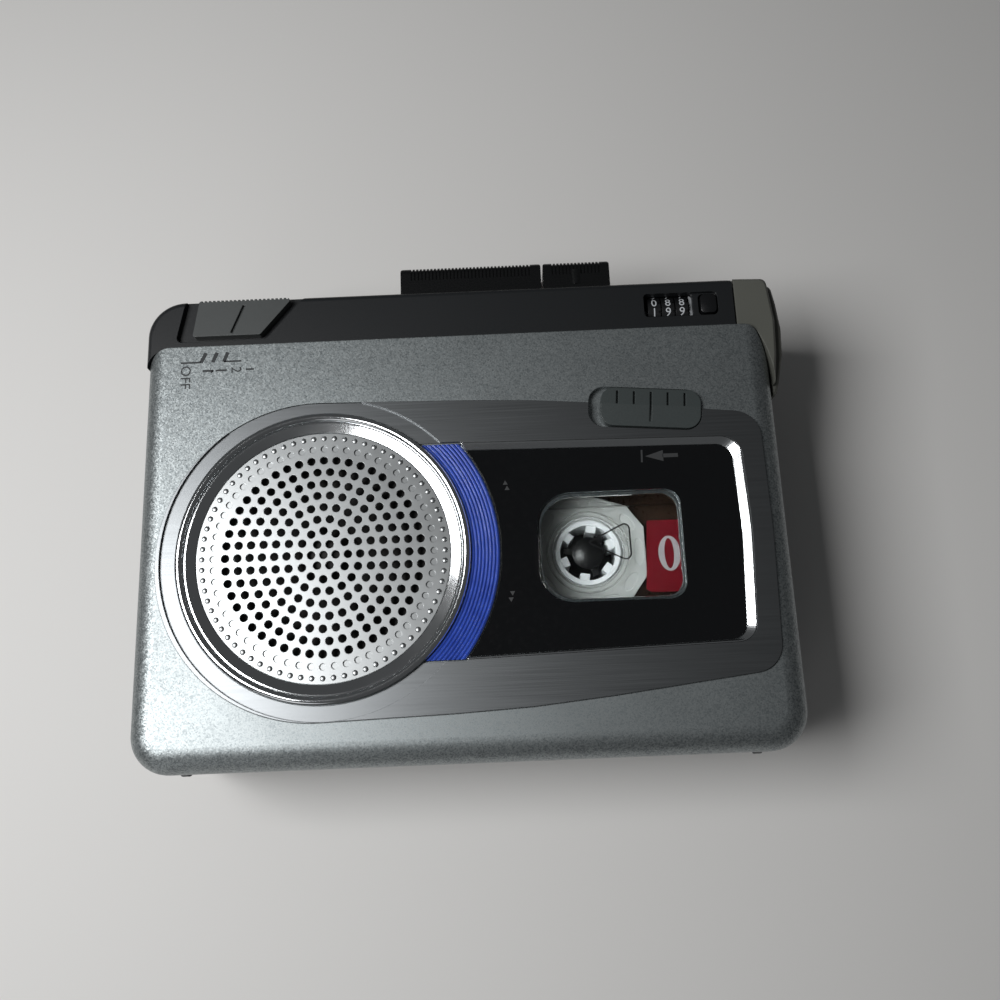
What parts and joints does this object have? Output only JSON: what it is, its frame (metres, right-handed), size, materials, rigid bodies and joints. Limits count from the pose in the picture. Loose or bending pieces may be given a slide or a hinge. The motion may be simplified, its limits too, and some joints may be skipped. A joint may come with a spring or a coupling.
{
  "type": "cassette dictation recorder",
  "caption": "Hand-held cassette dictation recorder with a hinged lid, round speaker grille, cassette window, end keys, tape counter, slide switches and side sockets.",
  "frame": {"origin": "centre of the flat back, on the plane that the machine rests on when it lies on its back", "axes": "+X along the long side (to the right in the front view), +Y from the hinge edge to the key edge, +Z from the back to the lid's front face"},
  "size_m": [0.1213, 0.095, 0.036],
  "materials": {
    "cabinet_plastic": "fine matt grain, dark grey ABS",
    "panel_plastic": "fine matt grain, near black ABS",
    "cap_plastic": "satin olive-grey ABS",
    "chassis_plastic": "matt dark grey moulding",
    "lid_paint": "silver metallic paint with a fine sparkle, over ABS",
    "bezel_satin": "satin steel-grey metallised finish",
    "bright_trim": "polished bright plating",
    "gloss_black": "gloss black acrylic",
    "clear_lens": "clear acrylic",
    "grille_metal": "bright satin perforated sheet",
    "blue_acrylic": "translucent blue acrylic with fine ribs",
    "steel": "bright steel",
    "dark_steel": "grey ferrite and steel",
    "paper_cone": "matt pressed paper",
    "spring_bronze": "phosphor bronze",
    "knob_plastic": "satin dark grey plastic",
    "key_plastic": "satin black ABS",
    "red_plastic": "satin red ABS",
    "wheel_plastic": "black wheels with white numerals",
    "rubber": "black rubber",
    "brass": "turned brass",
    "white_plastic": "white acetal",
    "black_plastic": "black acetal",
    "tape_coil": "brown wound tape, satin",
    "shell_clear": "smoky clear polystyrene",
    "label_paper": "printed paper label",
    "board": "green laminate with parts",
    "cell_jacket": "printed cell jacket"
  },
  "bodies": {
    "body": {"rear_cabinet": "cabinet_plastic", "key_panel": "panel_plastic", "end_cap": "cap_plastic", "chassis": "chassis_plastic", "hinge_pins": "steel", "cabinet_screws": "steel", "counter_frame": "steel", "capstan_bush": "spring_bronze", "motor": "steel", "drive_belt": "rubber", "cassette_front": "shell_clear", "cassette_back": "shell_clear", "cassette_label": "label_paper", "tape_run": "tape_coil", "circuit_board": "board", "mic_jack": "black_plastic", "ear_jack": "black_plastic", "mic_capsule": "steel", "battery_cells": "cell_jacket", "battery_contacts": "steel"},
    "lid": {"lid_shell": "lid_paint", "lid_liner": "chassis_plastic", "bezel": "bezel_satin", "panel_trim": "bright_trim", "front_panel": "gloss_black", "window_lens": "clear_lens", "speaker_ring": "bright_trim", "speaker_grille": "grille_metal", "blue_lens": "blue_acrylic", "speaker_basket": "steel", "speaker_cone": "paper_cone", "speaker_magnet": "dark_steel", "cassette_springs": "spring_bronze"},
    "battery_door": {"battery_door": "cabinet_plastic"},
    "pause_knob": {"pause_knob": "knob_plastic"},
    "switch_knob": {"switch_knob": "knob_plastic"},
    "play_key": {"play_key": "key_plastic"},
    "stop_key": {"stop_key": "key_plastic"},
    "rewind_key": {"rewind_key": "key_plastic"},
    "forward_key": {"forward_key": "key_plastic"},
    "record_key": {"record_key": "red_plastic"},
    "counter_units": {"counter_units": "wheel_plastic"},
    "counter_tens": {"counter_tens": "wheel_plastic"},
    "counter_hundreds": {"counter_hundreds": "wheel_plastic"},
    "reset_button": {"reset_button": "black_plastic"},
    "head_carriage": {"head_base": "steel", "play_head": "steel", "erase_head": "dark_steel"},
    "pinch_roller": {"pinch_roller": "rubber"},
    "flywheel": {"flywheel": "brass"},
    "motor_pulley": {"motor_pulley": "brass"},
    "supply_reel": {"supply_spindle": "black_plastic", "supply_hub": "white_plastic", "supply_pack": "tape_coil"},
    "takeup_reel": {"takeup_spindle": "black_plastic", "takeup_hub": "white_plastic", "takeup_pack": "tape_coil"},
    "guide_roller_left": {"guide_roller_left": "white_plastic"},
    "guide_roller_right": {"guide_roller_right": "white_plastic"},
    "volume_wheel": {"volume_wheel": "black_plastic"}
  },
  "joints": [
    {"name": "lid_hinge", "type": "hinge", "parent": "body", "child": "lid", "pos_m": [0, -0.041, 0.025], "axis": [1, 0, 0], "range_deg": [0, 68]},
    {"name": "battery_door_slide", "type": "slide", "parent": "body", "child": "battery_door", "axis": [0, -1, 0], "range_m": [0, 0.018]},
    {"name": "pause_slide", "type": "slide", "parent": "lid", "child": "pause_knob", "axis": [-0.9965, 0.0837, 0], "range_m": [0, 0.002]},
    {"name": "switch_slide", "type": "slide", "parent": "body", "child": "switch_knob", "axis": [-1, 0, 0], "range_m": [0, 0.0026]},
    {"name": "play_key_slide", "type": "slide", "parent": "body", "child": "play_key", "axis": [0, -1, 0], "range_m": [0, 0.0035], "stiffness_N_per_m": 250},
    {"name": "stop_key_slide", "type": "slide", "parent": "body", "child": "stop_key", "axis": [0, -1, 0], "range_m": [0, 0.0035], "stiffness_N_per_m": 250},
    {"name": "rewind_key_slide", "type": "slide", "parent": "body", "child": "rewind_key", "axis": [0, -1, 0], "range_m": [0, 0.0035], "stiffness_N_per_m": 250},
    {"name": "forward_key_slide", "type": "slide", "parent": "body", "child": "forward_key", "axis": [0, -1, 0], "range_m": [0, 0.0035], "stiffness_N_per_m": 250},
    {"name": "record_key_slide", "type": "slide", "parent": "body", "child": "record_key", "axis": [0, -1, 0], "range_m": [0, 0.0035], "stiffness_N_per_m": 250},
    {"name": "reset_slide", "type": "slide", "parent": "body", "child": "reset_button", "axis": [0, 0, -1], "range_m": [0, 0.0012], "stiffness_N_per_m": 150},
    {"name": "head_slide", "type": "slide", "parent": "body", "child": "head_carriage", "axis": [0, -1, 0], "range_m": [0, 0.0035]},
    {"name": "pinch_spin", "type": "hinge", "parent": "head_carriage", "child": "pinch_roller", "pos_m": [-0.024, 0.033, 0.02], "axis": [0, 0, 1], "continuous": true},
    {"name": "capstan_spin", "type": "hinge", "parent": "body", "child": "flywheel", "pos_m": [-0.024, 0.0229, 0.02], "axis": [0, 0, 1], "continuous": true},
    {"name": "motor_spin", "type": "hinge", "parent": "body", "child": "motor_pulley", "pos_m": [0.038, 0.024, 0.004], "axis": [0, 0, 1], "continuous": true},
    {"name": "supply_spin", "type": "hinge", "parent": "body", "child": "supply_reel", "pos_m": [0.023, -0.00705, 0.02], "axis": [0, 0, 1], "continuous": true},
    {"name": "takeup_spin", "type": "hinge", "parent": "body", "child": "takeup_reel", "pos_m": [-0.0195, -0.00705, 0.02], "axis": [0, 0, 1], "continuous": true},
    {"name": "roller_left_spin", "type": "hinge", "parent": "body", "child": "guide_roller_left", "pos_m": [-0.04195, 0.0213, 0.02], "axis": [0, 0, 1], "continuous": true},
    {"name": "roller_right_spin", "type": "hinge", "parent": "body", "child": "guide_roller_right", "pos_m": [0.04545, 0.0213, 0.02], "axis": [0, 0, 1], "continuous": true},
    {"name": "units_spin", "type": "hinge", "parent": "body", "child": "counter_units", "pos_m": [0.0434, 0.039, 0.03], "axis": [1, 0, 0], "continuous": true},
    {"name": "tens_spin", "type": "hinge", "parent": "body", "child": "counter_tens", "pos_m": [0.04075, 0.039, 0.03], "axis": [1, 0, 0], "continuous": true},
    {"name": "hundreds_spin", "type": "hinge", "parent": "body", "child": "counter_hundreds", "pos_m": [0.0381, 0.039, 0.03], "axis": [1, 0, 0], "continuous": true},
    {"name": "volume_turn", "type": "hinge", "parent": "body", "child": "volume_wheel", "pos_m": [0.051, 0.002, 0.007], "axis": [0, 0, 1], "range_deg": [-150, 150]}
  ],
  "couplings": [
    {"joint": "motor_spin", "follows": "capstan_spin", "ratio": 5.3846},
    {"joint": "pinch_spin", "follows": "capstan_spin", "ratio": -0.2},
    {"joint": "supply_spin", "follows": "capstan_spin", "ratio": 0.04878},
    {"joint": "takeup_spin", "follows": "capstan_spin", "ratio": 0.064516},
    {"joint": "roller_left_spin", "follows": "capstan_spin", "ratio": 0.43478},
    {"joint": "roller_right_spin", "follows": "capstan_spin", "ratio": 0.43478},
    {"joint": "units_spin", "follows": "capstan_spin", "ratio": 0.003226},
    {"joint": "tens_spin", "follows": "capstan_spin", "ratio": 0.000323},
    {"joint": "hundreds_spin", "follows": "capstan_spin", "ratio": 0.000032},
    {"joint": "head_slide", "follows": "play_key_slide", "ratio": 1}
  ]
}
